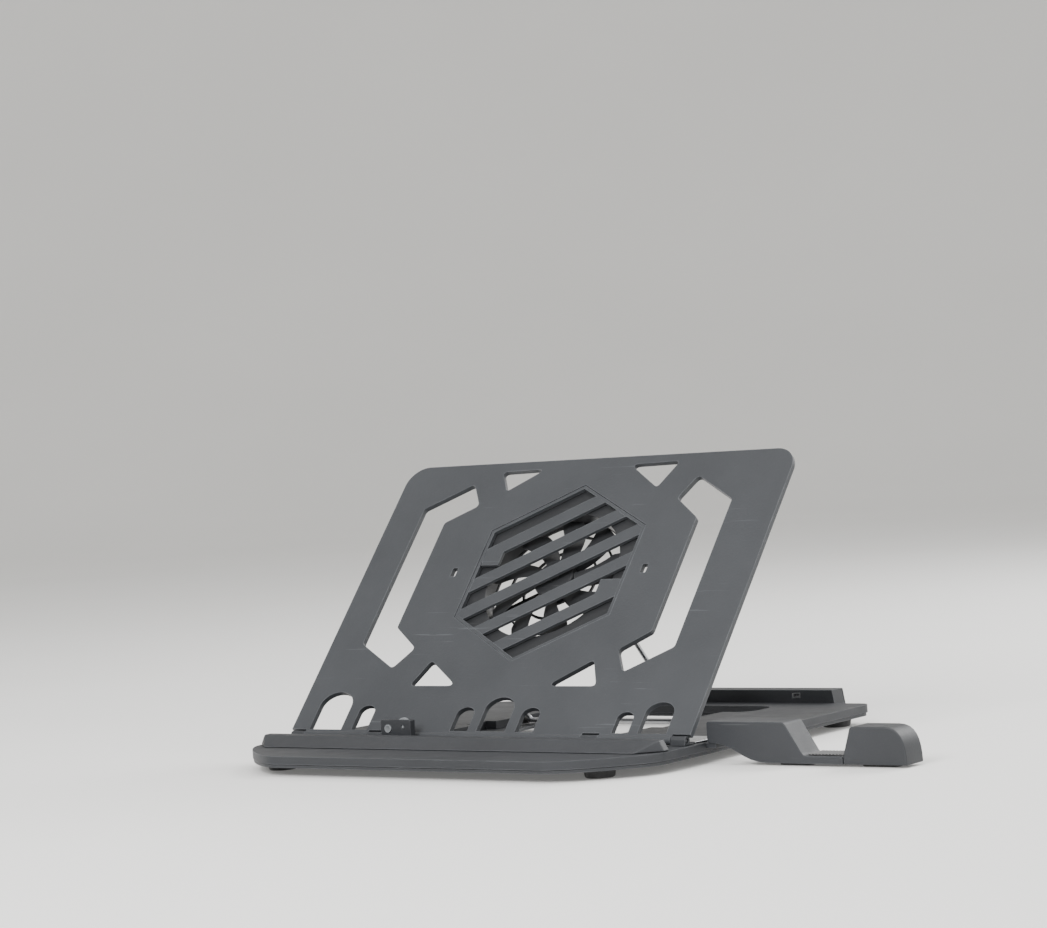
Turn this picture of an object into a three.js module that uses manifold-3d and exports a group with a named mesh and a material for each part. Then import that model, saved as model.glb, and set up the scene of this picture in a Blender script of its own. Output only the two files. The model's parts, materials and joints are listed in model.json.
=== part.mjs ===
// Folding laptop cooling pad. A panel with a fan behind its hexagonal vent tilts on a flat base, a wire prop
// holds it up, and a phone holder slides out of the base's right side.
// Millimetres, +Z up, +X to the user's right, +Y away from the user. A span is [low, high] along one axis.
import * as THREE from 'three';
import { mergeVertices } from 'three/addons/utils/BufferGeometryUtils.js';
import Module from 'manifold-3d';

const wasm = await Module();
wasm.setup();

const GAP = 0.3;    // clearance between pieces that meet
const CUT = 1;      // how far a cutter runs past the faces it opens

// ---------------------------------------------------------------- panel dimensions
const PANEL = { width: 360, height: 259, thick: 4, tilt: 48.7, cornerRadius: 18 };
const HINGE = { y: 2.8, z: 18.2, barrelRadius: 3.1, rodRadius: 1.5, rodLength: 354 };
const BRACKET = {
  spans: [[-178, -166], [-104, -90], [90, 104], [166, 178]],
  front: 3.4, rear: 8, toe: 0.7, heel: 0.9,
};
const NOTCH = { side: 0.4, y: [-6, 3.8], half: 4 };     // room in the panel's edge for each bracket
const HEX = { y: 150.5, radius: 82.5, ringGap: 0.4, rim: 3.4 };
const SLATS = { count: 5, pitch: 24.7, width: 11, thick: 2.5, angle: 30, length: 200 };
const VENT = { inset: [0.4, 0.5], overlap: 0.6 };       // below the panel's faces, and into the rim
const WEBS = [[-68, -52, 8, 22], [50, 68, -22, -8]];    // short bridges from the vent's rim to its slats

// Holes through the panel are given by distance from its middle and distance up from its bottom edge.
// Most of those on the right sit a little nearer the middle than those on the left.
const SIDE_SLOT = {
  left: [[109, 62], [149, 85], [149, 216], [109, 239], [95, 217], [122, 201], [122, 100], [95.5, 80.6]],
  right: [[103, 58], [139, 80], [139, 213], [101, 237], [90, 216], [114, 197], [114, 94], [91.5, 78]],
  radius: 4,
};
const LOWER_TRIANGLE = {
  left: [[41, 46], [85, 46], [74, 69]],
  right: [[41, 46], [85, 46], [74, 69]],
  radius: 3,
};
const UPPER_TRIANGLE = {
  left: [[44, 251], [86, 250], [74, 230]],
  right: [[34.5, 251], [79.5, 252], [67.5, 227]],
  radius: 3,
};
const SMALL_SLOT = {
  left: [[88, 148], [93, 148], [93, 156], [88, 156]],
  right: [[83, 147], [88, 147], [88, 155], [83, 155]],
  radius: 1,
};
const ARCH = { bottom: 6, roundness: 0.8 };
const ARCHES = [                                        // x span and height of each crown
  [-163, -132, 40], [-5, 21, 36], [136, 160, 32.5],
  [-122, -107, 28], [-29, -13, 27], [30, 46, 27], [114, 128, 24],
];

// ---------------------------------------------------------------- base dimensions
const BASE = {
  frontHalf: 182, rearHalf: 176, frontY: -90, rearY: 262,
  cornerX: 118, cornerY: -30, cornerPull: 0.3, rearRadius: 12,
  bottom: 6.2, split: 8.4, top: 14.7, skin: 2.4, bottomInset: 0.8,
};
const POCKETS = { radius: 6, spans: [[-120, 104, -80, 53], [-168, -126, -26, 190], [126, 166, 60, 190]] };
const BAY = { half: 81, y: [61, 234], radius: 8, earHalf: 91, earY: [103, 129], intakeRadius: 63 };
const SLOT = { half: 105, y: [200, 240], radius: 14 };
const CHANNEL = { x0: 112, y: [21, 42], floor: 10.7 };
const GUIDE = { x: [128, 176], margin: 6, lift: 0.2, thick: 0.9 };
const LIP = {
  half: 181, topHalf: 177, frontHalf: 165, y: [-46, -24], shoulderY: -31, topFrontY: -33, height: 7.6,
};
const LIP_PAD = { inset: 6, rise: 1, height: 5.8, thick: 1.5 };
const FOOT = {
  radius: 11, treadRadius: 9.4, bulge: [10.5, 0.9], plugRadius: 6, plugTop: 8,
  places: {
    front_left: [-142, -52], front_right: [142, -52], rear_left: [-158, 238], rear_right: [158, 238],
  },
};
const BASE_SCREW = {
  radius: 2.6, height: 1.1,
  places: [[-120, -76], [120, -76], [-174, 20], [170, 60], [-150, 214], [150, 214]],
};

const HOUSING = {
  half: 144, topHalf: 141, y: [262.3, 277], z: [6.4, 24.6], wall: 2.4, roof: 2, coverThick: 2,
};
const BOARD = { x: [60, 132], z: [16.2, 17.6], frontRoom: 4, rearRoom: 1 };
const INLET = { x: 109, width: 7, z: [18.6, 22.4], depth: 8, setBack: 0.4, wall: 0.6, mouth: 5 };
const CONTROL = { x: [-81.7, -53.7], y: [-10, -4.6], top: 32, radius: 1.2 };
const WHEEL = { radius: 6.6, thick: 2, x: -61.3, z: 26.8, pinRadius: 1.1, pinInset: 0.2, slotGap: 0.4 };
const BUTTON = { radius: 3, x: -74.7, z: 25.4, proud: 0.9, length: 3, travel: 0.8 };

// ---------------------------------------------------------------- fan and prop dimensions
const FAN = { ringRadius: 60, boreRadius: 57.4, flangeRadius: 88, flangeThick: 2, depth: 12 };
const ROTOR = {
  topRoom: 2.6, hubRadius: 17, hubDepth: 7.6, hubWall: 1.6, hubRoof: 1.8,
  shaftRadius: 1.3, shaftTop: 1, shaftEnd: 8.4,
};
const BLADE = {
  count: 9, steps: 6, tipRadius: 55.8, middle: 3.8, sweep: 0.28, halfRoot: 4.2, halfTip: 11,
  riseRoot: 2.5, riseTip: 2.25, halfSkin: 0.45,
};
const STATOR = { neckRadius: 6, neckTop: 1.6, coilRadius: 13, coil: [1.2, 4.6], boreRadius: 1.6 };
const GUARD = {
  thick: 1.6, rings: [[60, 57], [46, 44.2], [32, 30.2]], hubRadius: 19,
  spokes: 3, spokeWidth: 4, spokeSpan: [16, 60],
};
const HOUSING_SCREW = { radius: 1.9, height: 1.2, angles: [60, 120, 240, 300] };

const PROP = {
  pivotU: 115, pivotN: -8.6, armX: 72, stubX: 87, footX: 79, wire: 1.75, length: 118,
  capRadius: 2.7, capEnd: 1, capGap: 0.4,
};
const PROP_BRACKET = { x: [80.2, 88], half: 6, below: 2.8 };
const PROP_PAD = { x: 76.3, half: 3, y: [153, 171], lift: 0.1, thick: 0.4 };

// ---------------------------------------------------------------- phone holder dimensions
const ARM = {
  y: [20, 43], bottom: 1.6, rootX: 182.8, barTop: 29.5, barEndX: 244.7, barRound: 2.5, rootRound: 2,
  curveEndX: 231, curvePull: [206, 208], slopeFootX: 258.7, footRound: 2, slopeRound: 1.2,
  slotFloor: 7, slotEndX: 289,
};
const END_BLOCK = {
  endX: 337.4, topX: [295.5, 321.5], top: 27, pull: [[337.4, 18], [333, 27]], round: 2, lean: 0.6,
};
const TONGUE = { x: 116, z: [11, 14.3], side: 0.6, overlap: 4, neckLength: 6, neckRise: 2 };
const SLOT_PAD = { front: 3, end: 1, side: 2, thick: 1 };
const ARM_FOOT = { spans: { inner: [236, 262], outer: [300, 328] }, side: 4, radius: 5 };

// ---------------------------------------------------------------- colours
const colours = {
  shell: [0x2b2d30, 0.6, 0],
  panel: [0x33363a, 0.55, 0],
  accent: [0x74787c, 0.4, 0],
  rubber: [0x161616, 0.9, 0],
  steel: [0xb9bcc0, 0.3, 0.9],
  fan: [0x1d1f22, 0.5, 0],
  copper: [0xa8623a, 0.4, 0.8],
  board: [0x1f5a38, 0.5, 0],
};

function material(key) {
  const [color, roughness, metalness] = colours[key];
  return new THREE.MeshStandardMaterial({ color, roughness, metalness });
}

// ---------------------------------------------------------------- solids
function solid(geometry) {
  const bare = geometry.clone();
  bare.deleteAttribute('normal');
  bare.deleteAttribute('uv');
  const welded = mergeVertices(bare, 1e-4);
  return new wasm.Manifold(new wasm.Mesh({
    numProp: 3,
    vertProperties: new Float32Array(welded.attributes.position.array),
    triVerts: new Uint32Array(welded.index.array),
  }));
}

function toGeometry(body) {
  const { vertProperties, triVerts } = body.getMesh();
  const geometry = new THREE.BufferGeometry();
  geometry.setAttribute('position', new THREE.BufferAttribute(new Float32Array(vertProperties), 3));
  geometry.setIndex(new THREE.BufferAttribute(new Uint32Array(triVerts), 1));
  const flat = geometry.toNonIndexed();
  flat.computeVertexNormals();
  return flat;
}

function named(name, key, body) {
  const mesh = new THREE.Mesh(toGeometry(body), material(key));
  mesh.name = name;
  return mesh;
}

const joined = (bodies) => bodies.reduce((whole, next) => whole.add(next));
const cutFrom = (body, cutters) => cutters.reduce((rest, cutter) => rest.subtract(cutter), body);
const wider = ([low, high], by) => [low - by, high + by];
const middle = ([low, high]) => (low + high) / 2;
const degrees = (angle) => THREE.MathUtils.degToRad(angle);

function box([x0, x1], [y0, y1], [z0, z1]) {
  const geometry = new THREE.BoxGeometry(x1 - x0, y1 - y0, z1 - z0);
  return solid(geometry.translate((x0 + x1) / 2, (y0 + y1) / 2, (z0 + z1) / 2));
}

// A block whose top rectangle differs from its bottom rectangle; each is [x0, x1, y0, y1].
function taperedBox(low, high, [z0, z1]) {
  const geometry = new THREE.BoxGeometry(1, 1, 1);
  const position = geometry.attributes.position;
  for (let i = 0; i < position.count; i += 1) {
    const onTop = position.getZ(i) > 0;
    const rect = onTop ? high : low;
    position.setXYZ(i, rect[position.getX(i) > 0 ? 1 : 0], rect[position.getY(i) > 0 ? 3 : 2], onTop ? z1 : z0);
  }
  return solid(geometry);
}

// The outline as a plain polygon, without points that nearly coincide.
function polygon(shape, segments) {
  const apart = 0.01;
  const points = shape.getPoints(segments);
  const kept = points.filter((point, i) => i === 0 || point.distanceTo(points[i - 1]) > apart);
  if (kept[0].distanceTo(kept[kept.length - 1]) < apart) {
    kept.pop();
  }
  return new THREE.Shape(kept);
}

function extruded(shape, depth, segments) {
  return new THREE.ExtrudeGeometry(polygon(shape, segments), { depth, bevelEnabled: false });
}

// An outline in X and Y, raised from z0 to z1, with its holes cut through.
function slab(shape, [z0, z1], segments = 6) {
  const cutters = shape.holes.map((hole) => (
    solid(extruded(hole, z1 - z0 + 2 * CUT, segments).translate(0, 0, z0 - CUT))));
  return cutFrom(solid(extruded(shape, z1 - z0, segments).translate(0, 0, z0)), cutters);
}

// An outline in X and Z, pushed along Y from y0 to y1.
function sideSlab(shape, [y0, y1], segments = 8) {
  return solid(extruded(shape, y1 - y0, segments).rotateX(Math.PI / 2).translate(0, y1, 0));
}

// A cylinder between two heights on Z, centred on x, y.
function post(radius, x, y, [z0, z1], sides = 32) {
  const geometry = new THREE.CylinderGeometry(radius, radius, z1 - z0, sides);
  return solid(geometry.rotateX(Math.PI / 2).translate(x, y, (z0 + z1) / 2));
}

function rodX(radius, [x0, x1], y, z, sides = 20) {
  const geometry = new THREE.CylinderGeometry(radius, radius, x1 - x0, sides);
  return solid(geometry.rotateZ(Math.PI / 2).translate((x0 + x1) / 2, y, z));
}

function rodY(radius, [y0, y1], x, z, sides = 24) {
  const geometry = new THREE.CylinderGeometry(radius, radius, y1 - y0, sides);
  return solid(geometry.translate(x, (y0 + y1) / 2, z));
}

// A round bar through the points, with a ball at each bend so that the bars join.
function wire(points, radius, sides = 12) {
  const pieces = [];
  for (let i = 0; i + 1 < points.length; i += 1) {
    const from = new THREE.Vector3(...points[i]);
    const to = new THREE.Vector3(...points[i + 1]);
    const along = to.clone().sub(from);
    const upright = new THREE.Vector3(0, 1, 0);
    const turn = new THREE.Quaternion().setFromUnitVectors(upright, along.clone().normalize());
    const bar = new THREE.CylinderGeometry(radius, radius, along.length(), sides).applyQuaternion(turn);
    const centre = from.add(to).multiplyScalar(0.5);
    pieces.push(solid(bar.translate(centre.x, centre.y, centre.z)));
    if (i > 0) {
      pieces.push(solid(new THREE.SphereGeometry(radius, sides, sides / 2).translate(...points[i])));
    }
  }
  return joined(pieces);
}

function roundedRect([x0, x1], [y0, y1], r) {
  const shape = new THREE.Shape();
  shape.moveTo(x0 + r, y0);
  shape.lineTo(x1 - r, y0);
  shape.absarc(x1 - r, y0 + r, r, -Math.PI / 2, 0);
  shape.lineTo(x1, y1 - r);
  shape.absarc(x1 - r, y1 - r, r, 0, Math.PI / 2);
  shape.lineTo(x0 + r, y1);
  shape.absarc(x0 + r, y1 - r, r, Math.PI / 2, Math.PI);
  shape.lineTo(x0, y0 + r);
  shape.absarc(x0 + r, y0 + r, r, Math.PI, 1.5 * Math.PI);
  return shape;
}

// A polygon whose corners are rounded to r.
function roundedPolygon(points, r) {
  const corners = points.map((point) => new THREE.Vector2(...point));
  const shape = new THREE.Shape();
  corners.forEach((corner, i) => {
    const before = corners[(i + corners.length - 1) % corners.length];
    const after = corners[(i + 1) % corners.length];
    const inward = before.clone().sub(corner).normalize();
    const outward = after.clone().sub(corner).normalize();
    const cut = r / Math.tan(Math.acos(THREE.MathUtils.clamp(inward.dot(outward), -1, 1)) / 2);
    const start = corner.clone().addScaledVector(inward, cut);
    const end = corner.clone().addScaledVector(outward, cut);
    if (i === 0) {
      shape.moveTo(start.x, start.y);
    } else {
      shape.lineTo(start.x, start.y);
    }
    shape.quadraticCurveTo(corner.x, corner.y, end.x, end.y);
  });
  shape.closePath();
  return shape;
}

// A hexagon that stands on one corner, centred on x = 0.
function hexagon(radius, y) {
  const points = [];
  for (let i = 0; i < 6; i += 1) {
    const angle = Math.PI / 6 + i * Math.PI / 3;
    points.push(new THREE.Vector2(radius * Math.cos(angle), y + radius * Math.sin(angle)));
  }
  return new THREE.Shape(points);
}

// ---------------------------------------------------------------- base
// Y in the base's frame of a place on the panel when the panel lies flat.
const flatY = (u) => HINGE.y + u - PANEL.thick / 2;

function baseOutline(inset) {
  const front = BASE.frontHalf - inset;
  const rear = BASE.rearHalf - inset;
  const y0 = BASE.frontY + inset;
  const y1 = BASE.rearY - inset;
  const r = BASE.rearRadius;
  const pullX = BASE.cornerX + BASE.cornerPull * (BASE.frontHalf - BASE.cornerX);
  const pullY = BASE.cornerY - BASE.cornerPull * (BASE.cornerY - BASE.frontY);
  const shape = new THREE.Shape();
  shape.moveTo(-BASE.cornerX, y0);
  shape.lineTo(BASE.cornerX, y0);
  shape.bezierCurveTo(pullX, y0, front, pullY, front, BASE.cornerY);
  shape.lineTo(rear, y1 - r);
  shape.quadraticCurveTo(rear, y1, rear - r, y1);
  shape.lineTo(r - rear, y1);
  shape.quadraticCurveTo(-rear, y1, -rear, y1 - r);
  shape.lineTo(-front, BASE.cornerY);
  shape.bezierCurveTo(-front, pullY, -pullX, y0, -BASE.cornerX, y0);
  return shape;
}

const carrySlot = (z) => slab(roundedRect([-SLOT.half, SLOT.half], SLOT.y, SLOT.radius), wider(z, CUT));

function baseTopCover() {
  const z = [BASE.split + GAP, BASE.top];
  const through = wider(z, CUT);
  const pockets = POCKETS.spans.map(([x0, x1, y0, y1]) => (
    slab(roundedRect([x0, x1], [y0, y1], POCKETS.radius), [z[0] - CUT, BASE.top - BASE.skin], 3)));
  return cutFrom(slab(baseOutline(0), z, 10), [
    slab(roundedRect([-BAY.half, BAY.half], BAY.y, BAY.radius), through),
    box([-BAY.earHalf, BAY.earHalf], BAY.earY, through),
    carrySlot(z),
    box([CHANNEL.x0, BASE.frontHalf + CUT], CHANNEL.y, [CHANNEL.floor, BASE.top + CUT]),
    ...pockets,
  ]);
}

function baseBottomCover() {
  const z = [BASE.bottom, BASE.split];
  const through = wider(z, CUT);
  const intakeY = flatY(HEX.y);
  const r = BAY.intakeRadius;
  const plugHoles = Object.values(FOOT.places).map(([x, y]) => post(FOOT.plugRadius + GAP, x, y, through, 24));
  return cutFrom(slab(baseOutline(BASE.bottomInset), z, 10), [
    post(r, 0, intakeY, through, 40),
    box([-r, r], [intakeY, SLOT.y[0] + CUT], through),
    carrySlot(z),
    ...plugHoles,
  ]);
}

function rubberFoot(x, y) {
  const top = BASE.bottom - GAP;
  const profile = [
    [0, 0], [FOOT.treadRadius, 0], FOOT.bulge, [FOOT.radius, top],
    [FOOT.plugRadius, top], [FOOT.plugRadius, FOOT.plugTop], [0, FOOT.plugTop],
  ];
  const geometry = new THREE.LatheGeometry(profile.map((point) => new THREE.Vector2(...point)), 28);
  return solid(geometry.rotateX(Math.PI / 2).translate(x, y, 0));
}

const baseScrew = ([x, y]) => {
  const top = BASE.bottom - GAP;
  return post(BASE_SCREW.radius, x, y, [top - BASE_SCREW.height, top], 16);
};

// A long low wedge, cut back at both ends of its sloping front.
function stopLip() {
  const z0 = BASE.top + GAP;
  const z1 = z0 + LIP.height;
  const [front, back] = LIP.y;
  const rightEnd = [
    [LIP.half, back, z0], [LIP.half, LIP.shoulderY, z0], [LIP.frontHalf, front, z0],
    [LIP.topHalf, back, z1], [LIP.topHalf, LIP.shoulderY, z1], [LIP.frontHalf, LIP.topFrontY, z1],
  ];
  return wasm.Manifold.hull(rightEnd.flatMap(([x, y, z]) => [[x, y, z], [-x, y, z]]));
}

function lipPad() {
  const half = LIP.topHalf - LIP_PAD.inset;
  const y0 = LIP.y[1] + GAP;
  const z0 = BASE.top + GAP + LIP_PAD.rise;
  return box([-half, half], [y0, y0 + LIP_PAD.thick], [z0, z0 + LIP_PAD.height]);
}

function hingeBracket([x0, x1]) {
  const shape = new THREE.Shape();
  const z0 = BASE.top + GAP;
  const r = HINGE.barrelRadius;
  shape.moveTo(HINGE.y - BRACKET.front, z0);
  shape.lineTo(HINGE.y + BRACKET.rear, z0);
  shape.lineTo(HINGE.y + BRACKET.rear, z0 + BRACKET.toe);
  shape.lineTo(HINGE.y + r, z0 + BRACKET.heel);
  shape.lineTo(HINGE.y + r, HINGE.z);
  shape.absarc(HINGE.y, HINGE.z, r, 0, Math.PI);
  shape.lineTo(HINGE.y - BRACKET.front, z0);
  const ontoX = new THREE.Matrix4().set(0, 0, 1, x0, 1, 0, 0, 0, 0, 1, 0, 0, 0, 0, 0, 1);
  const block = solid(extruded(shape, x1 - x0, 10).applyMatrix4(ontoX));
  return block.subtract(rodX(HINGE.rodRadius + GAP, wider([x0, x1], CUT), HINGE.y, HINGE.z));
}

const hingeRod = () => rodX(HINGE.rodRadius, [-HINGE.rodLength / 2, HINGE.rodLength / 2], HINGE.y, HINGE.z);

function rearHousing() {
  const { half, topHalf, wall } = HOUSING;
  const [y0, y1] = HOUSING.y;
  const [z0, z1] = HOUSING.z;
  const inletHalf = INLET.width / 2 + GAP;
  return cutFrom(taperedBox([-half, half, y0, y1], [-topHalf, topHalf, y0, y1], HOUSING.z), [
    box([wall - topHalf, topHalf - wall], [y0 + wall, y1 + CUT], [z0 + wall, z1 - HOUSING.roof]),
    box([INLET.x - inletHalf, INLET.x + inletHalf], [y0 - CUT, y0 + wall + CUT], wider(INLET.z, GAP)),
  ]);
}

function rearHousingCover() {
  const y0 = HOUSING.y[1] + GAP;
  const y1 = y0 + HOUSING.coverThick;
  return taperedBox(
    [-HOUSING.half, HOUSING.half, y0, y1],
    [-HOUSING.topHalf, HOUSING.topHalf, y0, y1],
    HOUSING.z,
  );
}

const controlBoard = () => (
  box(BOARD.x, [HOUSING.y[0] + BOARD.frontRoom, HOUSING.y[1] - BOARD.rearRoom], BOARD.z));

function powerInlet() {
  const x = wider([INLET.x, INLET.x], INLET.width / 2);
  const y0 = HOUSING.y[0] + INLET.setBack;
  const shell = box(x, [y0, y0 + INLET.depth], INLET.z);
  return shell.subtract(box(wider(x, -INLET.wall), [y0 - CUT, y0 + INLET.mouth], wider(INLET.z, -INLET.wall)));
}

// Y span of the wheel, which stands midway between the control housing's faces.
const wheelY = wider([middle(CONTROL.y), middle(CONTROL.y)], WHEEL.thick / 2);

function controlHousing() {
  const outline = roundedRect(CONTROL.x, [BASE.top + GAP, CONTROL.top], CONTROL.radius);
  return cutFrom(sideSlab(outline, CONTROL.y, 3), [
    rodY(WHEEL.radius + WHEEL.slotGap, wider(wheelY, GAP), WHEEL.x, WHEEL.z, 28),
    rodY(WHEEL.pinRadius + GAP, wider(CONTROL.y, CUT), WHEEL.x, WHEEL.z, 16),
    rodY(BUTTON.radius + GAP, [CONTROL.y[0] - CUT, CONTROL.y[0] + BUTTON.length + CUT], BUTTON.x, BUTTON.z),
  ]);
}

function speedWheel() {
  const pin = rodY(WHEEL.pinRadius, wider(CONTROL.y, -WHEEL.pinInset), WHEEL.x, WHEEL.z, 16);
  return rodY(WHEEL.radius, wheelY, WHEEL.x, WHEEL.z, 28).add(pin);
}

function powerButton() {
  const y = [CONTROL.y[0] - BUTTON.proud, CONTROL.y[0] + BUTTON.length - BUTTON.travel];
  return rodY(BUTTON.radius, y, BUTTON.x, BUTTON.z);
}

function propPad(side) {
  const x = side * PROP_PAD.x;
  const z0 = BASE.split + PROP_PAD.lift;
  return box(wider([x, x], PROP_PAD.half), PROP_PAD.y, [z0, z0 + PROP_PAD.thick]);
}

function guidePlate() {
  const z0 = BASE.top + GUIDE.lift;
  return box(GUIDE.x, wider(CHANNEL.y, GUIDE.margin), [z0, z0 + GUIDE.thick]);
}

// ---------------------------------------------------------------- panel, drawn flat about the hinge axis
// In the panel group, x runs along the hinge, y up the panel and z out of the face that holds the laptop.
const FACE = PANEL.thick / 2;
const HALF = PANEL.width / 2;
const fromEdge = (u) => u - PANEL.thick / 2;
const HEX_Y = fromEdge(HEX.y);

function archHole([x0, x1, crown]) {
  const half = (x1 - x0) / 2;
  const rise = half * ARCH.roundness;
  const shape = new THREE.Shape();
  shape.moveTo(x0, fromEdge(ARCH.bottom));
  shape.lineTo(x1, fromEdge(ARCH.bottom));
  shape.lineTo(x1, fromEdge(crown - rise));
  shape.absellipse((x0 + x1) / 2, fromEdge(crown - rise), half, rise, 0, Math.PI);
  shape.lineTo(x0, fromEdge(ARCH.bottom));
  return shape;
}

function holePair({ left, right, radius }) {
  const rightPoints = right.map(([x, u]) => [x, fromEdge(u)]);
  const leftPoints = left.map(([x, u]) => [-x, fromEdge(u)]).reverse();
  return [roundedPolygon(rightPoints, radius), roundedPolygon(leftPoints, radius)];
}

function panelOutline() {
  const r = PANEL.cornerRadius;
  const top = fromEdge(PANEL.height);
  const outline = new THREE.Shape();
  outline.moveTo(-HALF, fromEdge(0));
  outline.lineTo(HALF, fromEdge(0));
  outline.lineTo(HALF, top - r);
  outline.absarc(HALF - r, top - r, r, 0, Math.PI / 2);
  outline.lineTo(r - HALF, top);
  outline.absarc(r - HALF, top - r, r, Math.PI / 2, Math.PI);
  outline.lineTo(-HALF, fromEdge(0));
  outline.holes = [
    hexagon(HEX.radius, HEX_Y),
    ...[SIDE_SLOT, LOWER_TRIANGLE, UPPER_TRIANGLE, SMALL_SLOT].flatMap(holePair),
    ...ARCHES.map(archHole),
  ];
  return outline;
}

function panelPlate() {
  const { spans } = BRACKET;
  const last = spans.length - 1;
  const barrels = spans.slice(0, last).map((span, i) => (
    rodX(HINGE.barrelRadius, wider([span[1], spans[i + 1][0]], -NOTCH.side), 0, 0)));
  const notches = spans.map(([x0, x1], i) => {
    const low = i === 0 ? -HALF - CUT : x0 - NOTCH.side;
    const high = i === last ? HALF + CUT : x1 + NOTCH.side;
    return box([low, high], NOTCH.y, [-NOTCH.half, NOTCH.half]);
  });
  const plate = slab(panelOutline(), [-FACE, FACE], 7);
  return cutFrom(joined([plate, ...barrels]), [...notches, rodX(HINGE.rodRadius + GAP, [-HALF, HALF], 0, 0)]);
}

function ventGrille() {
  const z = [-FACE + VENT.inset[0], FACE - VENT.inset[1]];
  const ring = hexagon(HEX.radius - HEX.ringGap, HEX_Y);
  ring.holes = [hexagon(HEX.radius - HEX.rim, HEX_Y)];
  const slats = [];
  for (let i = 0; i < SLATS.count; i += 1) {
    const bar = new THREE.BoxGeometry(SLATS.length, SLATS.width, SLATS.thick);
    bar.translate(0, (i - (SLATS.count - 1) / 2) * SLATS.pitch, middle(z));
    slats.push(solid(bar.rotateZ(degrees(SLATS.angle)).translate(0, HEX_Y, 0)));
  }
  const inside = slab(hexagon(HEX.radius - HEX.rim + VENT.overlap, HEX_Y), z);
  const webs = WEBS.map(([x0, x1, y0, y1]) => (
    box([x0, x1], [HEX_Y + y0, HEX_Y + y1], wider([middle(z), middle(z)], SLATS.thick / 2))));
  return slab(ring, z).add(joined([...slats, ...webs]).intersect(inside));
}

// ---------------------------------------------------------------- fan
const FAN_TOP = -FACE - GAP;
const GUARD_TOP = FAN_TOP - FAN.depth - GAP;

function fanHousing() {
  const flange = slab(hexagon(FAN.flangeRadius, HEX_Y), [FAN_TOP - FAN.flangeThick, FAN_TOP]);
  const z = [FAN_TOP - FAN.depth, FAN_TOP];
  const ring = post(FAN.ringRadius, 0, HEX_Y, z, 56);
  return flange.add(ring).subtract(post(FAN.boreRadius, 0, HEX_Y, wider(z, CUT), 56));
}

function fanGuard() {
  const z = [GUARD_TOP - GUARD.thick, GUARD_TOP];
  const rings = GUARD.rings.map(([outer, inner]) => (
    post(outer, 0, HEX_Y, z, 48).subtract(post(inner, 0, HEX_Y, wider(z, CUT), 48))));
  const spokes = [];
  for (let i = 0; i < GUARD.spokes; i += 1) {
    const [from, to] = GUARD.spokeSpan;
    const bar = new THREE.BoxGeometry(to - from, GUARD.spokeWidth, GUARD.thick);
    bar.translate((from + to) / 2, 0, middle(z)).rotateZ(Math.PI / 2 + i * 2 * Math.PI / GUARD.spokes);
    spokes.push(solid(bar.translate(0, HEX_Y, 0)));
  }
  return joined([...rings, post(GUARD.hubRadius, 0, HEX_Y, z, 36), ...spokes]);
}

function motorStator() {
  const [coilLow, coilHigh] = STATOR.coil;
  return joined([
    post(STATOR.neckRadius, 0, HEX_Y, [GUARD_TOP + GAP, GUARD_TOP + STATOR.neckTop], 24),
    post(STATOR.coilRadius, 0, HEX_Y, [GUARD_TOP + coilLow, GUARD_TOP + coilHigh], 24),
  ]).subtract(post(STATOR.boreRadius, 0, HEX_Y, wider([GUARD_TOP, GUARD_TOP + coilHigh], CUT), 16));
}

// One blade: a swept strip pitched about its own radius, its upper and lower skins joined at the rims.
function fanBlade(start, z) {
  const inner = ROTOR.hubRadius - CUT;
  const skins = [[-1, BLADE.halfSkin], [1, BLADE.halfSkin], [1, -BLADE.halfSkin], [-1, -BLADE.halfSkin]];
  const corners = [];
  for (let i = 0; i <= BLADE.steps; i += 1) {
    const share = i / BLADE.steps;
    const r = THREE.MathUtils.lerp(inner, BLADE.tipRadius, share);
    const half = THREE.MathUtils.lerp(BLADE.halfRoot, BLADE.halfTip, share) / r;
    const rise = THREE.MathUtils.lerp(BLADE.riseRoot, BLADE.riseTip, share);
    for (const [edge, skin] of skins) {
      const angle = start + BLADE.sweep * share + edge * half;
      corners.push(r * Math.cos(angle), r * Math.sin(angle), z + edge * rise + skin);
    }
  }
  const index = [];
  for (let i = 0; i < BLADE.steps; i += 1) {
    for (let k = 0; k < 4; k += 1) {
      const a = i * 4 + k;
      const b = i * 4 + (k + 1) % 4;
      index.push(a, a + 4, b, b, a + 4, b + 4);
    }
  }
  const end = BLADE.steps * 4;
  index.push(0, 1, 2, 0, 2, 3, end, end + 2, end + 1, end, end + 3, end + 2);
  const geometry = new THREE.BufferGeometry();
  geometry.setAttribute('position', new THREE.Float32BufferAttribute(corners, 3));
  geometry.setIndex(index);
  return solid(geometry);
}

function fanRotor() {
  const top = FAN_TOP - ROTOR.topRoom;
  const hub = post(ROTOR.hubRadius, 0, 0, [top - ROTOR.hubDepth, top], 40);
  const hollowZ = [top - ROTOR.hubDepth - CUT, top - ROTOR.hubRoof];
  const hollow = post(ROTOR.hubRadius - ROTOR.hubWall, 0, 0, hollowZ, 32);
  const shaft = post(ROTOR.shaftRadius, 0, 0, [top - ROTOR.shaftEnd, top - ROTOR.shaftTop], 16);
  const blades = [];
  for (let i = 0; i < BLADE.count; i += 1) {
    blades.push(fanBlade(i * 2 * Math.PI / BLADE.count, top - BLADE.middle));
  }
  return joined([hub, ...blades]).subtract(hollow).add(shaft).translate([0, HEX_Y, 0]);
}

function housingScrew(angle) {
  const top = FAN_TOP - FAN.flangeThick - GAP;
  const reach = (HEX.radius + FAN.flangeRadius) / 2 * Math.cos(Math.PI / 6);
  const x = reach * Math.cos(degrees(angle));
  const y = HEX_Y + reach * Math.sin(degrees(angle));
  return post(HOUSING_SCREW.radius, x, y, [top - HOUSING_SCREW.height, top], 16);
}

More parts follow.
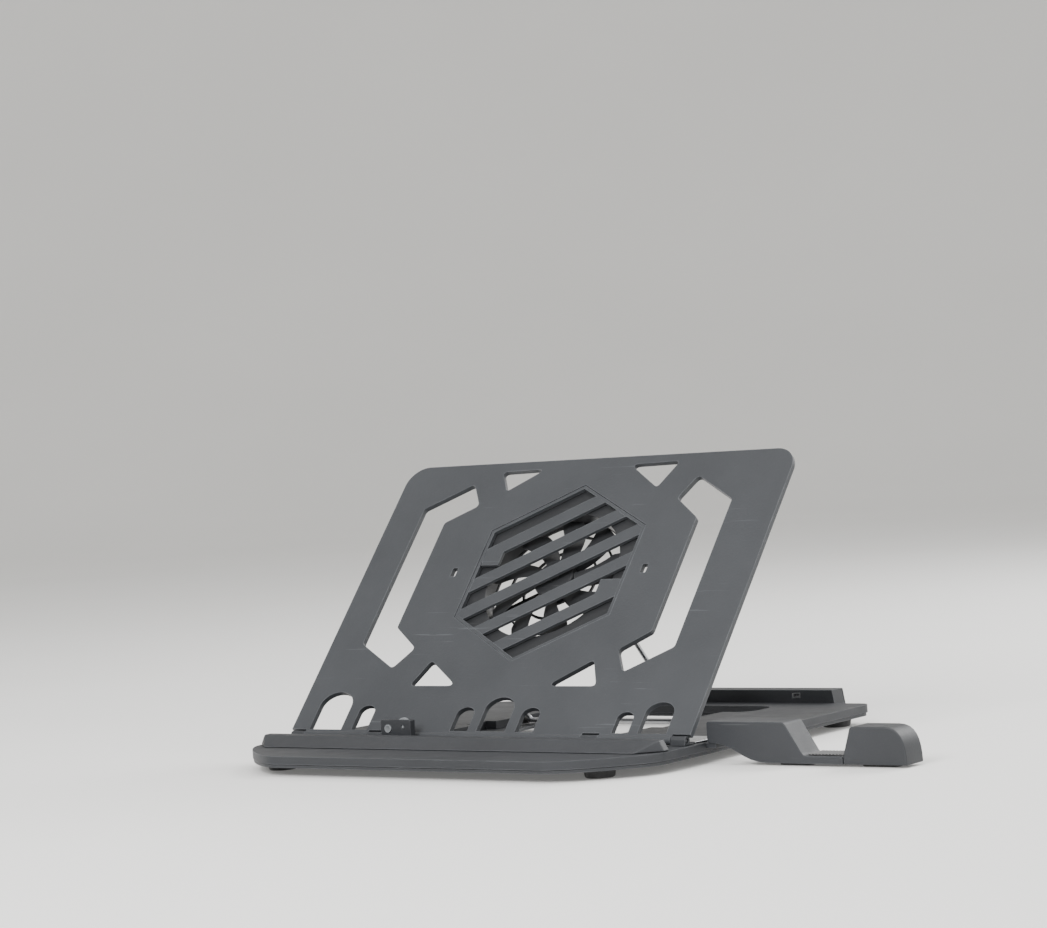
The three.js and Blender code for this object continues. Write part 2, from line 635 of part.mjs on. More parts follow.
// ---------------------------------------------------------------- prop
const PIVOT = { y: fromEdge(PROP.pivotU), z: PROP.pivotN + FACE };

// The same X span on the right for side 1, and mirrored to the left for side -1.
const onSide = (side, [x0, x1]) => (side > 0 ? [x0, x1] : [-x1, -x0]);

function propBracket(side) {
  const x = onSide(side, PROP_BRACKET.x);
  const block = box(x, wider([PIVOT.y, PIVOT.y], PROP_BRACKET.half), [PIVOT.z - PROP_BRACKET.below, FAN_TOP]);
  return block.subtract(rodX(PROP.wire + GAP, wider(x, CUT), PIVOT.y, PIVOT.z, 16));
}

// The prop's angle below level when its foot stands on the pads and the panel at its working tilt.
function propAngle() {
  const tilt = degrees(PANEL.tilt);
  const pivotZ = HINGE.z + PIVOT.y * Math.sin(tilt) + PIVOT.z * Math.cos(tilt);
  const footZ = BASE.split + PROP_PAD.lift + PROP_PAD.thick + GAP + PROP.capRadius;
  return Math.asin((pivotZ - footZ) / PROP.length);
}

function propFrame() {
  const { armX, stubX, footX, length } = PROP;
  const bends = [[stubX, 0, 0], [armX, 0, 0], [armX, length, 0], [footX, length, 0]];
  const arms = [1, -1].map((side) => wire(bends.map(([x, y, z]) => [side * x, y, z]), PROP.wire));
  return joined([...arms, wire([[-armX, length, 0], [armX, length, 0]], PROP.wire)]);
}

function propCap(side) {
  const x0 = PROP.armX + PROP.wire + PROP.capGap;
  const cap = rodX(PROP.capRadius, onSide(side, [x0, PROP.footX + PROP.capEnd]), PROP.length, 0);
  return cap.subtract(rodX(PROP.wire + GAP, onSide(side, [x0 - CUT, PROP.footX + GAP]), PROP.length, 0, 16));
}

// ---------------------------------------------------------------- phone holder
function armBody() {
  const { bottom, rootX, barTop, barEndX, slopeFootX, slotFloor, slotEndX } = ARM;
  const z0 = BASE.top + GAP;
  const shape = new THREE.Shape();
  shape.moveTo(rootX, z0);
  shape.bezierCurveTo(ARM.curvePull[0], z0, ARM.curvePull[1], bottom, ARM.curveEndX, bottom);
  shape.lineTo(slotEndX, bottom);
  shape.lineTo(slotEndX, slotFloor);
  shape.lineTo(slopeFootX + ARM.footRound, slotFloor);
  shape.quadraticCurveTo(slopeFootX, slotFloor, slopeFootX - ARM.slopeRound, slotFloor + ARM.footRound);
  shape.lineTo(barEndX + ARM.slopeRound, barTop - ARM.footRound);
  shape.quadraticCurveTo(barEndX, barTop, barEndX - ARM.barRound, barTop);
  shape.lineTo(rootX + ARM.rootRound, barTop);
  shape.quadraticCurveTo(rootX, barTop, rootX, barTop - ARM.rootRound);
  shape.closePath();
  const tongueY = wider(CHANNEL.y, -TONGUE.side);
  return joined([
    sideSlab(shape, ARM.y),
    box([TONGUE.x, rootX + TONGUE.overlap], tongueY, TONGUE.z),
    box([rootX, rootX + TONGUE.neckLength], tongueY, [TONGUE.z[0], BASE.top + TONGUE.neckRise]),
  ]);
}

function armEndBlock() {
  const x0 = ARM.slotEndX + GAP;
  const { endX, topX, top, pull, round, lean } = END_BLOCK;
  const shape = new THREE.Shape();
  shape.moveTo(x0, ARM.bottom);
  shape.lineTo(endX, ARM.bottom);
  shape.bezierCurveTo(...pull[0], ...pull[1], topX[1], top);
  shape.lineTo(topX[0] + round, top);
  shape.quadraticCurveTo(topX[0], top, topX[0] - lean, top - round);
  shape.lineTo(x0, ARM.slotFloor);
  shape.closePath();
  return sideSlab(shape, ARM.y);
}

function slotPad() {
  const z0 = ARM.slotFloor + GAP;
  const x = [ARM.slopeFootX + SLOT_PAD.front, ARM.slotEndX - SLOT_PAD.end];
  return box(x, wider(ARM.y, -SLOT_PAD.side), [z0, z0 + SLOT_PAD.thick]);
}

const armFoot = (x) => (
  slab(roundedRect(x, wider(ARM.y, -ARM_FOOT.side), ARM_FOOT.radius), [0, ARM.bottom - GAP], 5));

// ---------------------------------------------------------------- assembly
const base = new THREE.Group();
base.add(
  named('base_top_cover', 'shell', baseTopCover()),
  named('base_bottom_cover', 'shell', baseBottomCover()),
  named('stop_lip', 'shell', stopLip()),
  named('lip_pad', 'rubber', lipPad()),
  named('hinge_rod', 'steel', hingeRod()),
  named('rear_housing', 'shell', rearHousing()),
  named('rear_housing_cover', 'shell', rearHousingCover()),
  named('control_board', 'board', controlBoard()),
  named('power_inlet', 'steel', powerInlet()),
  named('control_housing', 'shell', controlHousing()),
  named('speed_wheel', 'accent', speedWheel()),
  named('power_button', 'accent', powerButton()),
  named('arm_guide_plate', 'steel', guidePlate()),
  named('prop_pad_left', 'rubber', propPad(-1)),
  named('prop_pad_right', 'rubber', propPad(1)),
  ...Object.entries(FOOT.places).map(([place, [x, y]]) => named(`foot_${place}`, 'rubber', rubberFoot(x, y))),
  ...BRACKET.spans.map((span, i) => named(`hinge_bracket_${i + 1}`, 'shell', hingeBracket(span))),
  ...BASE_SCREW.places.map((place, i) => named(`base_screw_${i + 1}`, 'steel', baseScrew(place))),
);

const prop = new THREE.Group();
prop.position.set(0, PIVOT.y, PIVOT.z);
prop.rotation.x = -degrees(PANEL.tilt) - propAngle();
prop.add(
  named('prop_frame', 'steel', propFrame()),
  named('prop_cap_left', 'rubber', propCap(-1)),
  named('prop_cap_right', 'rubber', propCap(1)),
);

const panel = new THREE.Group();
panel.position.set(0, HINGE.y, HINGE.z);
panel.rotation.x = degrees(PANEL.tilt);
panel.add(
  named('panel_plate', 'panel', panelPlate()),
  named('vent_grille', 'panel', ventGrille()),
  named('fan_housing', 'fan', fanHousing()),
  named('fan_guard', 'fan', fanGuard()),
  named('motor_stator', 'copper', motorStator()),
  named('fan_rotor', 'fan', fanRotor()),
  named('prop_bracket_left', 'shell', propBracket(-1)),
  named('prop_bracket_right', 'shell', propBracket(1)),
  ...HOUSING_SCREW.angles.map((angle, i) => named(`housing_screw_${i + 1}`, 'steel', housingScrew(angle))),
  prop,
);

const phoneHolder = new THREE.Group();
phoneHolder.add(
  named('phone_arm', 'shell', armBody()),
  named('phone_arm_end', 'shell', armEndBlock()),
  named('phone_slot_pad', 'rubber', slotPad()),
  ...Object.entries(ARM_FOOT.spans).map(([place, span]) => (
    named(`arm_foot_${place}`, 'rubber', armFoot(span)))),
);

// The origin sits on the ground under the middle of the whole object.
const model = new THREE.Group();
model.add(base, panel, phoneHolder);
model.updateMatrixWorld(true);
const bounds = new THREE.Box3().setFromObject(model, true);
model.position.set(-(bounds.min.x + bounds.max.x) / 2, -(bounds.min.y + bounds.max.y) / 2, -bounds.min.z);

export default model;
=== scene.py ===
"""Looks of the folding laptop cooling pad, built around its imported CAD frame. Metres, +Z up."""
import json
import math

import bmesh
import bpy
from mathutils import Matrix, Vector


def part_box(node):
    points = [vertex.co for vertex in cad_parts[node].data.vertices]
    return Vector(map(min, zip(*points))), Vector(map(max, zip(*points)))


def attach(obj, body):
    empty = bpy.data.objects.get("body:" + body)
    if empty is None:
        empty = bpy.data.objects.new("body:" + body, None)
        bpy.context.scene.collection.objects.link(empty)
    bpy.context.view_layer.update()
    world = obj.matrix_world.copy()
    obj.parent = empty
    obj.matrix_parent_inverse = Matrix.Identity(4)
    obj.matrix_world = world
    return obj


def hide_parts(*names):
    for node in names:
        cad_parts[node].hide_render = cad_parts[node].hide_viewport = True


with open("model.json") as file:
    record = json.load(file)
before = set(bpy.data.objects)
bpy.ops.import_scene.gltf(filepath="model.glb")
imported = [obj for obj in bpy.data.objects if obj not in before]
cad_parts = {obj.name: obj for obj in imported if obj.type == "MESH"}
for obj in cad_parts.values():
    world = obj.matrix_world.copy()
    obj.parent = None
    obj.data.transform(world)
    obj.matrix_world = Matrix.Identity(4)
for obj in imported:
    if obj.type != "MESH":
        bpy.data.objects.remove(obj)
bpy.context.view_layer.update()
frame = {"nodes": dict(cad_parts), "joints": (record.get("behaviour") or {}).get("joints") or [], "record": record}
MM = 0.001

BEVEL_SEGMENTS = 3
SHARP_EDGE_DEG = 30.0                # edges sharper than this are rolled
SMOOTH_SHADING_DEG = 32.0
BLADE_SHADING_DEG = 50.0
SAME_SPOT = 1e-6                     # vertices closer than this are one
SAME_PLANE_DEG = 0.5                 # faces flatter than this are one
EDGE_MASK_RAMP = (0.02, 0.22)           # 1 minus the dot product of the two normals, open face to full edge
DUST_COLOUR = (0.32, 0.31, 0.29)
SOLDER_PAD_COLOUR = (0.62, 0.6, 0.5)
PAPER_COLOUR = (0.80, 0.795, 0.78)

SCREW_SIDES = 40
SCREW_RECESS_TURN = 0.35             # radians
WHEEL_TEETH = 36
WHEEL_THICK = 2 * MM
WHEEL_PIN_RADIUS = 1.1 * MM
FAN_BLADES = 9
FAN_HUB_RADIUS = 17 * MM
FAN_HUB_SIDES = 72
PROP_WIRE_RADIUS = 1.75 * MM
PROP_ARM_HALF = 72 * MM              # from the middle to each bent wire
PROP_FOOT_HALF = 79 * MM             # from the middle to each end of the foot bar
PROP_BEND_RADIUS = 4.5 * MM
BLADE_ROOT_HALF = 4.3 * MM           # half the blade's chord at the hub
BLADE_WIDENING = 7.0 * MM            # how much that grows towards the tip
BLADE_TIP_START = 0.86               # share of the blade's length where its tip starts to narrow
BLADE_SWEEP = 0.28                   # radians from hub to tip
BLADE_HALF_THICK = 0.42 * MM
BLADE_CAMBER = 0.45 * MM
RIVET_INSET = (4 * MM, 3 * MM)
RIB_TOP = (0.08, 0.62)               # shares of one rib's pitch
RIB_GROOVE = (0.72, 0.94)

MOUNTS = {mount["name"]: mount for mount in frame["record"]["mounts"]}
JOINTS = {joint["name"]: joint for joint in frame["joints"]}
FACE_NORMAL = Vector(MOUNTS["panel_face"]["axis"])
TILT = math.atan2(-FACE_NORMAL.y, FACE_NORMAL.z)
HINGE = Vector(JOINTS["panel_tilt"]["pos_m"])
ON_PANEL = Matrix.Translation(HINGE) @ Matrix.Rotation(TILT, 4, "X")
BODY_OF = {node: body for body, nodes in frame["record"]["behaviour"]["bodies"].items() for node in nodes}
SLOT_OF = {part["node"]: part["material_slot"] for part in frame["record"]["subparts"]}


# ---------------------------------------------------------------- materials
class Nodes:
    """A small helper that adds nodes to one material and links them."""

    def __init__(self, name):
        self.material = bpy.data.materials.new(name)
        self.material.use_nodes = True
        self.tree = self.material.node_tree
        self.shader = self.tree.nodes["Principled BSDF"]
        self.coords = self.add("ShaderNodeTexCoord").outputs["Object"]

    def add(self, kind, **values):
        node = self.tree.nodes.new(kind)
        for key, value in values.items():
            setattr(node, key, value)
        return node

    def link(self, source, target):
        self.tree.links.new(source, target)

    def noise(self, scale, detail=2.0, stretch=None, roughness=0.5):
        node = self.add("ShaderNodeTexNoise")
        node.inputs["Scale"].default_value = scale
        node.inputs["Detail"].default_value = detail
        node.inputs["Roughness"].default_value = roughness
        source = self.coords
        if stretch:
            mapping = self.add("ShaderNodeMapping")
            mapping.inputs["Scale"].default_value = stretch
            self.link(source, mapping.inputs["Vector"])
            source = mapping.outputs["Vector"]
        self.link(source, node.inputs["Vector"])
        return node.outputs["Fac"]

    def ramp(self, source, low, high, to_low=0.0, to_high=1.0):
        node = self.add("ShaderNodeMapRange")
        for key, value in zip(("From Min", "From Max", "To Min", "To Max"), (low, high, to_low, to_high)):
            node.inputs[key].default_value = value
        self.link(source, node.inputs["Value"])
        return node.outputs["Result"]

    def math(self, operation, first, second):
        node = self.add("ShaderNodeMath", operation=operation)
        for socket, value in zip(node.inputs, (first, second)):
            if isinstance(value, float):
                socket.default_value = value
            else:
                self.link(value, socket)
        return node.outputs["Value"]

    def mix(self, factor, first, second):
        node = self.add("ShaderNodeMix", data_type="RGBA")
        self.link(factor, node.inputs["Factor"])
        for socket, value in ((node.inputs[6], first), (node.inputs[7], second)):
            if isinstance(value, tuple):
                socket.default_value = (*value, 1.0)
            else:
                self.link(value, socket)
        return node.outputs[2]

    def edges(self, radius):
        """1 on sharp edges, 0 on open faces; the plastics draw these edges paler as rubbed wear and as a painted
        highlight.
        """
        bevel = self.add("ShaderNodeBevel", samples=4)
        bevel.inputs["Radius"].default_value = radius
        geometry = self.add("ShaderNodeNewGeometry")
        dot = self.add("ShaderNodeVectorMath", operation="DOT_PRODUCT")
        self.link(bevel.outputs["Normal"], dot.inputs[0])
        self.link(geometry.outputs["Normal"], dot.inputs[1])
        return self.ramp(self.math("SUBTRACT", 1.0, dot.outputs["Value"]), *EDGE_MASK_RAMP)

    def bump(self, heights):
        """Heights are (source, strength, distance), from the broadest to the finest."""
        normal = None
        for source, strength, distance in heights:
            node = self.add("ShaderNodeBump")
            node.inputs["Strength"].default_value = strength
            node.inputs["Distance"].default_value = distance
            self.link(source, node.inputs["Height"])
            if normal:
                self.link(normal, node.inputs["Normal"])
            normal = node.outputs["Normal"]
        self.link(normal, self.shader.inputs["Normal"])

    def set(self, **values):
        for key, value in values.items():
            self.shader.inputs[key.replace("_", " ")].default_value = value


def moulded_plastic(name, colour, roughness, grain=620.0, depth=0.00016, edge_paleness=0.6):
    """Moulded plastic: spark grain, mottled handling marks, faint scratches, dust, and paler edges that are partly
    rubbed wear and partly a painted highlight.
    """
    n = Nodes(name)
    n.set(IOR=1.47, Specular_IOR_Level=0.4)
    broad = n.noise(7.0, 4.0, roughness=0.6)
    fine = n.noise(1900.0, 2.0)
    smudge = n.noise(30.0, 5.0, roughness=0.65)
    cells = n.add("ShaderNodeTexVoronoi", feature="SMOOTH_F1")
    cells.inputs["Scale"].default_value = grain
    n.link(n.coords, cells.inputs["Vector"])
    pits = cells.outputs["Distance"]
    scratches = n.math("MULTIPLY", n.ramp(n.noise(55.0, 3.0, stretch=(0.35, 9.0, 9.0)), 0.66, 0.7),
                       n.ramp(n.noise(12.0, 2.0), 0.45, 0.6))
    # paler sharp edges: partly rubbed wear, partly a painted highlight that keeps the outlines readable
    lightened_edges = n.math("MULTIPLY", n.edges(0.0012), n.ramp(n.noise(60.0, 4.0), 0.34, 0.62, 0.2, edge_paleness))
    geometry = n.add("ShaderNodeNewGeometry")
    upward = n.add("ShaderNodeSeparateXYZ")
    n.link(geometry.outputs["Normal"], upward.inputs[0])
    dust = n.math("MULTIPLY", n.ramp(upward.outputs["Z"], 0.55, 1.0, 0.0, 0.045),
                  n.ramp(n.noise(210.0, 7.0, roughness=0.8), 0.4, 0.8))
    dark = tuple(0.84 * c for c in colour)
    light = tuple(1.16 * c + 0.001 for c in colour)
    base = n.mix(n.ramp(broad, 0.25, 0.75), dark, light)
    speckled = n.mix(n.ramp(fine, 0.6, 0.78, 0.0, 0.4), base, tuple(1.8 * c + 0.008 for c in colour))
    scuffed = n.mix(n.math("MULTIPLY", scratches, 0.35), speckled, tuple(2.4 * c + 0.03 for c in colour))
    dusty = n.mix(dust, scuffed, DUST_COLOUR)
    # painted edge highlight and rubbed wear: the edges are drawn up to three times paler
    n.link(n.mix(lightened_edges, dusty, tuple(3.0 * c + 0.06 for c in colour)), n.shader.inputs["Base Color"])
    rough = n.math("SUBTRACT", n.ramp(smudge, 0.3, 0.72, roughness - 0.07, roughness + 0.07),
                   n.math("MULTIPLY", lightened_edges, 0.22))
    n.link(n.math("ADD", rough, dust), n.shader.inputs["Roughness"])
    n.bump([(smudge, 0.03, 0.0004), (pits, 0.35, depth), (fine, 0.4, 0.00006)])
    return n.material


def soft_rubber(name, colour):
    """Matte rubber: dusty in patches, with a fine pebbled skin."""
    n = Nodes(name)
    n.set(IOR=1.5, Sheen_Weight=0.25, Sheen_Roughness=0.6)
    dust = n.ramp(n.noise(55.0, 5.0, roughness=0.7), 0.45, 0.75)
    pebble = n.noise(2200.0, 2.0)
    worn = n.math("MULTIPLY", n.edges(0.0009), n.ramp(n.noise(160.0), 0.4, 0.6, 0.2, 0.8))
    base = n.mix(dust, colour, tuple(2.6 * c + 0.012 for c in colour))
    n.link(n.mix(worn, base, tuple(3.0 * c + 0.03 for c in colour)), n.shader.inputs["Base Color"])
    n.link(n.ramp(dust, 0.0, 1.0, 0.72, 0.92), n.shader.inputs["Roughness"])
    n.bump([(pebble, 0.5, 0.00009)])
    return n.material


def drawn_steel(name, colour, roughness, stretch):
    """Bright steel with fine drawing lines, faint tarnish and polished edges."""
    n = Nodes(name)
    n.set(Metallic=1.0)
    lines = n.noise(420.0, 3.0, stretch=stretch)
    tarnish = n.noise(46.0, 4.0, roughness=0.6)
    base = n.mix(n.ramp(tarnish, 0.35, 0.7), colour, tuple(0.68 * c for c in colour))
    lightened_edges = n.edges(0.0007)
    n.link(n.mix(lightened_edges, base, tuple(min(1.0, 1.25 * c) for c in colour)), n.shader.inputs["Base Color"])
    n.link(n.ramp(lines, 0.3, 0.7, roughness - 0.08, roughness + 0.14), n.shader.inputs["Roughness"])
    n.bump([(lines, 0.25, 0.00004)])
    return n.material


def wound_copper(name, colour):
    """Enamelled winding: close turns, with painted shade in the gaps between them."""
    n = Nodes(name)
    n.set(Metallic=0.85)
    wave = n.add("ShaderNodeTexWave", bands_direction="Z")
    wave.inputs["Scale"].default_value = 900.0
    wave.inputs["Distortion"].default_value = 1.5
    n.link(n.coords, wave.inputs["Vector"])
    turns = wave.outputs["Fac"]
    # painted shade: the gaps between turns are drawn at a third of the copper's colour
    n.link(n.mix(turns, tuple(0.35 * c for c in colour), colour), n.shader.inputs["Base Color"])
    n.link(n.ramp(n.noise(120.0), 0.3, 0.7, 0.25, 0.45), n.shader.inputs["Roughness"])
    n.bump([(turns, 0.6, 0.0001)])
    return n.material


def circuit_board(name, colour):
    """Green solder mask with raised tracks and bare pads."""
    n = Nodes(name)
    tracks = n.add("ShaderNodeTexBrick")
    tracks.inputs["Scale"].default_value = 160.0
    tracks.inputs["Mortar Size"].default_value = 0.06
    n.link(n.coords, tracks.inputs["Vector"])
    pads = n.add("ShaderNodeTexVoronoi")
    pads.inputs["Scale"].default_value = 330.0
    n.link(n.coords, pads.inputs["Vector"])
    pad = n.ramp(pads.outputs["Distance"], 0.16, 0.2, 1.0, 0.0)
    base = n.mix(tracks.outputs["Fac"], colour, tuple(1.9 * c for c in colour))
    n.link(n.mix(pad, base, SOLDER_PAD_COLOUR), n.shader.inputs["Base Color"])
    n.link(n.ramp(n.noise(90.0), 0.3, 0.7, 0.28, 0.42), n.shader.inputs["Roughness"])
    n.bump([(tracks.outputs["Fac"], 0.5, 0.00008)])
    return n.material


def studio_paper(name, colour):
    """The pale sheet that the object stands on."""
    n = Nodes(name)
    fibre = n.noise(300.0, 3.0)
    n.link(n.mix(n.ramp(n.noise(1.4, 2.0), 0.3, 0.7), colour, tuple(0.97 * c for c in colour)),
           n.shader.inputs["Base Color"])
    n.set(Roughness=0.85, Emission_Color=(*colour, 1.0), Emission_Strength=0.17)
    n.bump([(fibre, 0.03, 0.0003)])
    return n.material


COLOUR = {m["slot"]: tuple(m["base_color"][:3]) for m in frame["record"]["materials"]}
MATERIALS = {
    "shell_plastic": moulded_plastic("shell_plastic", COLOUR["shell_plastic"], 0.52),
    "panel_plastic": moulded_plastic("panel_plastic", COLOUR["panel_plastic"], 0.47, grain=540.0),
    "accent_plastic": moulded_plastic("accent_plastic", COLOUR["accent_plastic"], 0.36, depth=0.00003),
    "fan_plastic": moulded_plastic("fan_plastic", COLOUR["fan_plastic"], 0.38,
                                   grain=900.0, depth=0.00004, edge_paleness=0.3),
    "rubber": soft_rubber("rubber", COLOUR["rubber"]),
    "steel": drawn_steel("steel", COLOUR["steel"], 0.3, (0.04, 1.0, 1.0)),
    "screw_steel": drawn_steel("screw_steel", COLOUR["screw_steel"], 0.34, (1.0, 1.0, 0.1)),
    "copper": wound_copper("copper", COLOUR["copper"]),
    "board": circuit_board("board", COLOUR["board"]),
}


# ---------------------------------------------------------------- piece helpers
def finished(obj, node_or_body, slot=None, replaced=()):
    """Gives a piece the material of its slot and its body; a CAD node's name stands for that node's own."""
    body = BODY_OF.get(node_or_body, node_or_body)
    slot = slot or SLOT_OF[node_or_body]
    obj.data.materials.clear()
    obj.data.materials.append(MATERIALS[slot])
    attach(obj, body)
    if replaced:
        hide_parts(*replaced)


def linked(name, data):
    obj = bpy.data.objects.new(name, data)
    bpy.context.scene.collection.objects.link(obj)
    return obj


def applied(obj):
    """Works an object's modifiers or curve settings into a plain mesh object of the same name."""
    bpy.context.view_layer.update()
    shaped = obj.evaluated_get(bpy.context.evaluated_depsgraph_get())
    mesh = bpy.data.meshes.new_from_object(shaped)
    name = obj.name
    bpy.data.objects.remove(obj)
    return linked(name, mesh)


def smoothed(obj, angle=SMOOTH_SHADING_DEG):
    for face in obj.data.polygons:
        face.use_smooth = True
    obj.data.set_sharp_from_angle(angle=math.radians(angle))
    return obj


def rounded(obj, width, segments=BEVEL_SEGMENTS):
    """Rolls every sharp edge to a small radius, and smooths the rest."""
    for face in obj.data.polygons:
        face.use_smooth = True
    bevel = obj.modifiers.new("edge_radius", "BEVEL")
    bevel.width = width
    bevel.segments = segments
    bevel.limit_method = "ANGLE"
    bevel.angle_limit = math.radians(SHARP_EDGE_DEG)
    even = obj.modifiers.new("flat_faces_stay_flat", "WEIGHTED_NORMAL")
    even.mode = "FACE_AREA"
    even.weight = 100
    return applied(obj)


def refined(node, width):
    """A copy of a CAD node with whole faces and rolled edges, which stands for it."""
    mesh = frame["nodes"][node].data.copy()
    bm = bmesh.new()
    bm.from_mesh(mesh)
    bmesh.ops.remove_doubles(bm, verts=bm.verts, dist=SAME_SPOT)
    bmesh.ops.dissolve_limit(bm, angle_limit=math.radians(SAME_PLANE_DEG), verts=bm.verts, edges=bm.edges)
    bm.to_mesh(mesh)
    bm.free()
    finished(rounded(linked(node + "_skin", mesh), width), node, replaced=[node])


def mesh_of(name, spots, faces, place=None):
    """A mesh object from points and faces, carried into the row frame by the matrix place."""
    mesh = bpy.data.meshes.new(name)
    mesh.from_pydata([place @ Vector(v) if place else v for v in spots], [], faces)
    bm = bmesh.new()
    bm.from_mesh(mesh)
    bmesh.ops.recalc_face_normals(bm, faces=bm.faces)
    bm.to_mesh(mesh)
    bm.free()
    return linked(name, mesh)


def lathe_points(profile, sides):
    """Points and faces of a solid turned about Z; the profile is (radius, height), from axis to axis."""
    spots, rings = [], []
    for radius, height in profile:
        count = 1 if radius == 0 else sides
        rings.append(range(len(spots), len(spots) + count))
        spots += [
            (radius * math.cos(2 * math.pi * k / sides), radius * math.sin(2 * math.pi * k / sides), height)
            for k in range(count)
        ]
    faces = []
    for low, high in zip(rings, rings[1:]):
        for k in range(sides):
            after = (k + 1) % sides
            ring = [low[k % len(low)], low[after % len(low)], high[after % len(high)], high[k % len(high)]]
            faces.append(tuple(dict.fromkeys(ring)))
    return spots, faces


def lathe(name, profile, place, sides=48):
    spots, faces = lathe_points(profile, sides)
    return smoothed(mesh_of(name, spots, faces, place))


def prism(name, outline, depth, place):
    """A flat outline in X and Y, made solid from height 0 to depth."""
    count = len(outline)
    spots = [(x, y, z) for z in (0.0, depth) for x, y in outline]
    faces = [tuple(range(count)), tuple(range(2 * count - 1, count - 1, -1))]
    faces += [(k, (k + 1) % count, count + (k + 1) % count, count + k) for k in range(count)]
    return mesh_of(name, spots, faces, place)


def merged(name, parts):
    """Several mesh objects as one, each keeping its own shading."""
    bm = bmesh.new()
    for part in parts:
        bm.from_mesh(part.data)
        bpy.data.objects.remove(part)
    mesh = bpy.data.meshes.new(name)
    bm.to_mesh(mesh)
    bm.free()
    return linked(name, mesh)


def carved(obj, cutters):
    """obj with the cutters taken out of it."""
    for cutter in cutters:
        cut = obj.modifiers.new("cut", "BOOLEAN")
        cut.operation = "DIFFERENCE"
        cut.solver = "EXACT"
        cut.object = cutter
    done = applied(obj)
    for cutter in cutters:
        bpy.data.objects.remove(cutter)
    return done


def filleted(points, radius, steps=8):
    """The same path with each inner corner turned into an arc."""
    path = [Vector(points[0])]
    for before, corner, after in zip(points, points[1:], points[2:]):
        corner = Vector(corner)
        start = corner + radius * (Vector(before) - corner).normalized()
        end = corner + radius * (Vector(after) - corner).normalized()
        for i in range(steps + 1):
            t = i / steps
            path.append((1 - t) ** 2 * start + 2 * t * (1 - t) * corner + t ** 2 * end)
    path.append(Vector(points[-1]))
    return path


def wire(name, path, radius):
    curve = bpy.data.curves.new(name, "CURVE")
    curve.dimensions = "3D"
    curve.bevel_depth = radius
    curve.bevel_resolution = 5
    curve.use_fill_caps = True
    spline = curve.splines.new("POLY")
    spline.points.add(len(path) - 1)
    for point, spot in zip(spline.points, path):
        point.co = (*spot, 1.0)
    return smoothed(applied(linked(name, curve)))


def middle(node):
    low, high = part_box(node)
    return (low + high) / 2


def panel_box(node):
    """Lowest and highest corner of a CAD node along the panel's own axes."""
    to_panel = ON_PANEL.inverted()
    spots = [to_panel @ v.co for v in frame["nodes"][node].data.vertices]
    low = Vector([min(spot[i] for spot in spots) for i in range(3)])
    high = Vector([max(spot[i] for spot in spots) for i in range(3)])
    return low, high


# ---------------------------------------------------------------- screws, feet and pads
def screw(node, radius, height, place):
    """A domed head with a cross recess, its face at the matrix's origin and looking along its +Z."""
    rim = 0.35 * height
    dome = [(radius * math.sin(a), -rim * (1 - math.cos(a))) for a in (0.3, 0.65, 1.0, 1.3, math.pi / 2)]
    profile = [(0, 0), *dome, (radius, -height), (0, -height)]
    head = lathe(node + "_head", profile, None, SCREW_SIDES)
    arm, width, depth = 0.62 * radius, 0.17 * radius, 0.6 * height
    cutters = []
    outline = [(-arm, -width), (arm, -width), (arm, width), (-arm, width)]
    for turn in (SCREW_RECESS_TURN, SCREW_RECESS_TURN + math.pi / 2):
        stand = Matrix.Rotation(turn, 4, "Z") @ Matrix.Translation((0, 0, -depth))
        cutters.append(prism("recess", outline, 2 * depth, stand))
    head = carved(head, cutters)
    head.data.transform(place)
    finished(smoothed(head), node, replaced=[node])


def screws():
    for node in BODY_OF:
        low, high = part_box(node)
        if node.startswith("base_screw"):
            face = Matrix.Translation((*middle(node).xy, low.z)) @ Matrix.Rotation(math.pi, 4, "X")
            screw(node, (high.x - low.x) / 2, high.z - low.z, face)
        elif node.startswith("housing_screw"):
            low, high = panel_box(node)
            spot = ((low.x + high.x) / 2, (low.y + high.y) / 2, low.z)
            screw(node, (high.x - low.x) / 2, high.z - low.z,
                  ON_PANEL @ Matrix.Translation(spot) @ Matrix.Rotation(math.pi, 4, "X"))


def rubber_feet():
    groove, lip = 0.7 * MM, 0.35 * MM
    for node in BODY_OF:
        if not node.startswith("foot_"):
            continue
        low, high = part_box(node)
        radius = (high.x - low.x) / 2
        rings = [(0, groove), (1.6 * MM, groove)]
        for inner in (1.9, 4.5, 7.1):
            rings += [(inner * MM, 0), ((inner + 1.7) * MM, 0),
                      ((inner + 2.0) * MM, groove), ((inner + 2.3) * MM, groove)]
        side = [(radius - 1.5 * MM, 0), (radius - 0.9 * MM, lip), (radius - 0.5 * MM, 1.2 * MM),
                (radius, 4.6 * MM), (radius - 0.2 * MM, 5.6 * MM), (radius - 0.5 * MM, 5.9 * MM)]
        plug = [(6 * MM, 5.9 * MM), (6 * MM, 7.6 * MM), (5.6 * MM, 8 * MM), (0, 8 * MM)]
        foot = lathe(node + "_tread", rings + side + plug, Matrix.Translation((*middle(node).xy, low.z)))
        finished(foot, node, replaced=[node])


def ribbed_pad(node, axis, pitch, cut):
    """A pad whose open face, the one that looks along the given axis, is cut into ribs across its length."""
    low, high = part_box(node)
    length = high.x - low.x
    thick = high.y - low.y if axis == "Y" else high.z - low.z
    count = int(length / pitch)
    outline = [(0.0, 0.0)]
    for k in range(count):
        start = k * length / count
        step = length / count
        outline += [(start + share * step, thick) for share in RIB_TOP]
        outline += [(start + share * step, thick - cut) for share in RIB_GROOVE]
    outline[1] = (0.0, thick)            # the first rib starts at the pad's own end
    outline += [(length, thick - cut), (length, 0.0)]
    if axis == "Y":
        pad = prism(node + "_ribs", outline, high.z - low.z, Matrix.Translation(low))
    else:
        stand = Matrix(((1, 0, 0, low.x), (0, 0, 1, low.y), (0, 1, 0, low.z), (0, 0, 0, 1)))
        pad = prism(node + "_ribs", outline, high.y - low.y, stand)
    finished(rounded(pad, 0.00012, 2), node, replaced=[node])


